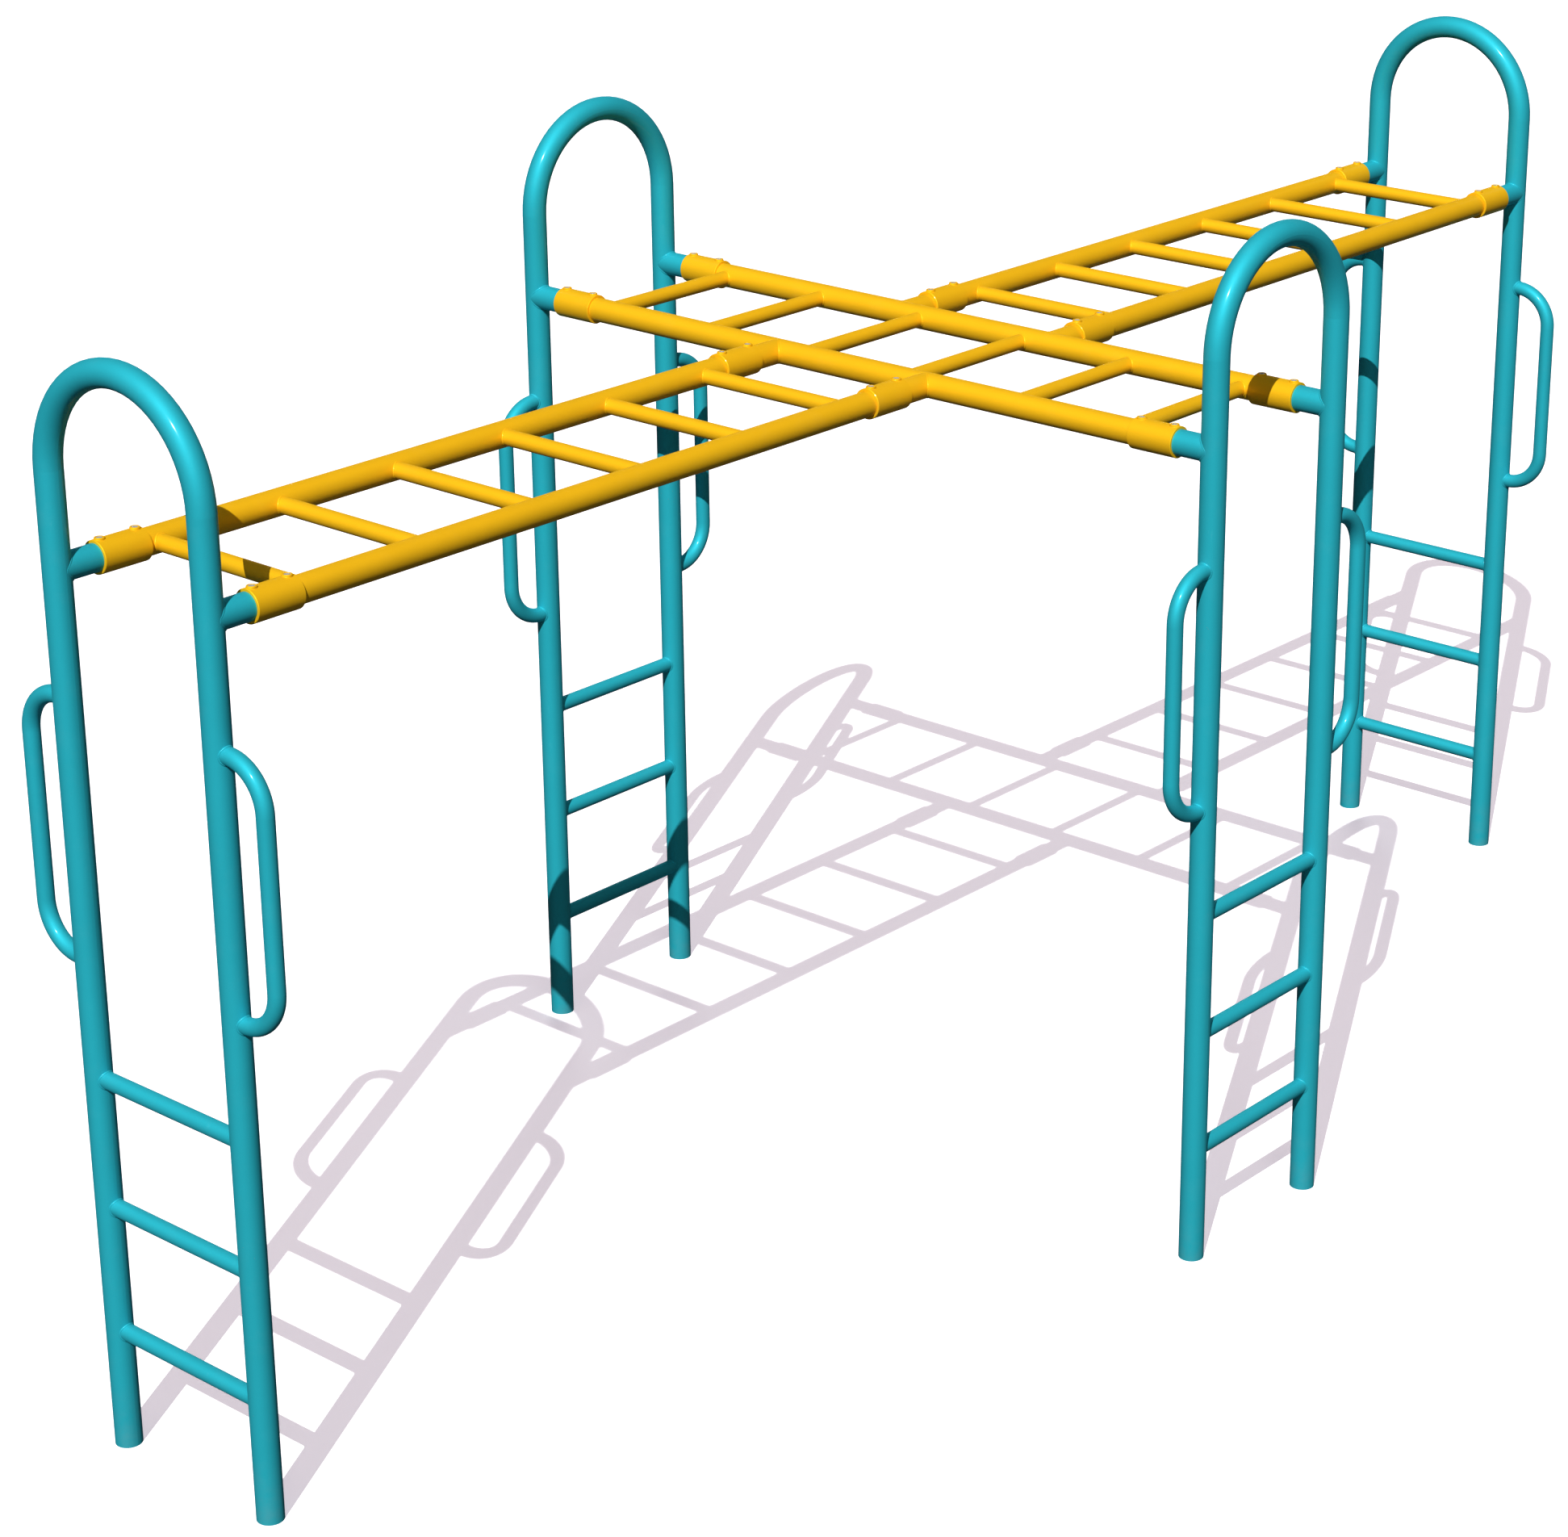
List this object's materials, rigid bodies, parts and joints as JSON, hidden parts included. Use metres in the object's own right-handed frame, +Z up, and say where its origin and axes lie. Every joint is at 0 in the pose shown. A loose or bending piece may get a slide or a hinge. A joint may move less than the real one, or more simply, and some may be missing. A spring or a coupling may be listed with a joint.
{
  "type": "monkey bars",
  "caption": "Free-standing cross-shaped monkey bars: overhead pipe ladders between four arched end frames with climbing rungs and grab handles.",
  "frame": {"origin": "on the ground under the middle of the crossing, the centre of the footprint of the eight feet", "axes": "+Z up; Y along the two long ladders (south is -Y, north is +Y); X along the short through ladder (west is -X, east is +X)"},
  "size_m": [2.1712, 4.8182, 2.4727],
  "materials": {
    "teal_paint": "gloss powder coat",
    "yellow_paint": "gloss powder coat",
    "screw_steel": "zinc plated",
    "plug_plastic": "moulded"
  },
  "bodies": {
    "root": {"centre_coupler_northeast": "yellow_paint", "centre_coupler_northwest": "yellow_paint", "centre_coupler_southeast": "yellow_paint", "centre_coupler_southwest": "yellow_paint", "centre_stub_northeast": "yellow_paint", "centre_stub_northwest": "yellow_paint", "centre_stub_southeast": "yellow_paint", "centre_stub_southwest": "yellow_paint", "east_arch_tube": "teal_paint", "east_climbing_rung_high": "teal_paint", "east_climbing_rung_low": "teal_paint", "east_climbing_rung_middle": "teal_paint", "east_coupler_north": "yellow_paint", "east_coupler_south": "yellow_paint", "east_handle_north": "teal_paint", "east_handle_south": "teal_paint", "east_stub_north": "teal_paint", "east_stub_south": "teal_paint", "foot_plugs": "plug_plastic", "north_arch_tube": "teal_paint", "north_climbing_rung_high": "teal_paint", "north_climbing_rung_low": "teal_paint", "north_climbing_rung_middle": "teal_paint", "north_coupler_east": "yellow_paint", "north_coupler_west": "yellow_paint", "north_handle_east": "teal_paint", "north_handle_west": "teal_paint", "north_ladder_rungs": "yellow_paint", "north_rail_east": "yellow_paint", "north_rail_west": "yellow_paint", "north_stub_east": "teal_paint", "north_stub_west": "teal_paint", "set_screws": "screw_steel", "south_arch_tube": "teal_paint", "south_climbing_rung_high": "teal_paint", "south_climbing_rung_low": "teal_paint", "south_climbing_rung_middle": "teal_paint", "south_coupler_east": "yellow_paint", "south_coupler_west": "yellow_paint", "south_handle_east": "teal_paint", "south_handle_west": "teal_paint", "south_ladder_rungs": "yellow_paint", "south_rail_east": "yellow_paint", "south_rail_west": "yellow_paint", "south_stub_east": "teal_paint", "south_stub_west": "teal_paint", "through_ladder_rungs": "yellow_paint", "through_rail_north": "yellow_paint", "through_rail_south": "yellow_paint", "west_arch_tube": "teal_paint", "west_climbing_rung_high": "teal_paint", "west_climbing_rung_low": "teal_paint", "west_climbing_rung_middle": "teal_paint", "west_coupler_north": "yellow_paint", "west_coupler_south": "yellow_paint", "west_handle_north": "teal_paint", "west_handle_south": "teal_paint", "west_stub_north": "teal_paint", "west_stub_south": "teal_paint"}
  },
  "joints": []
}
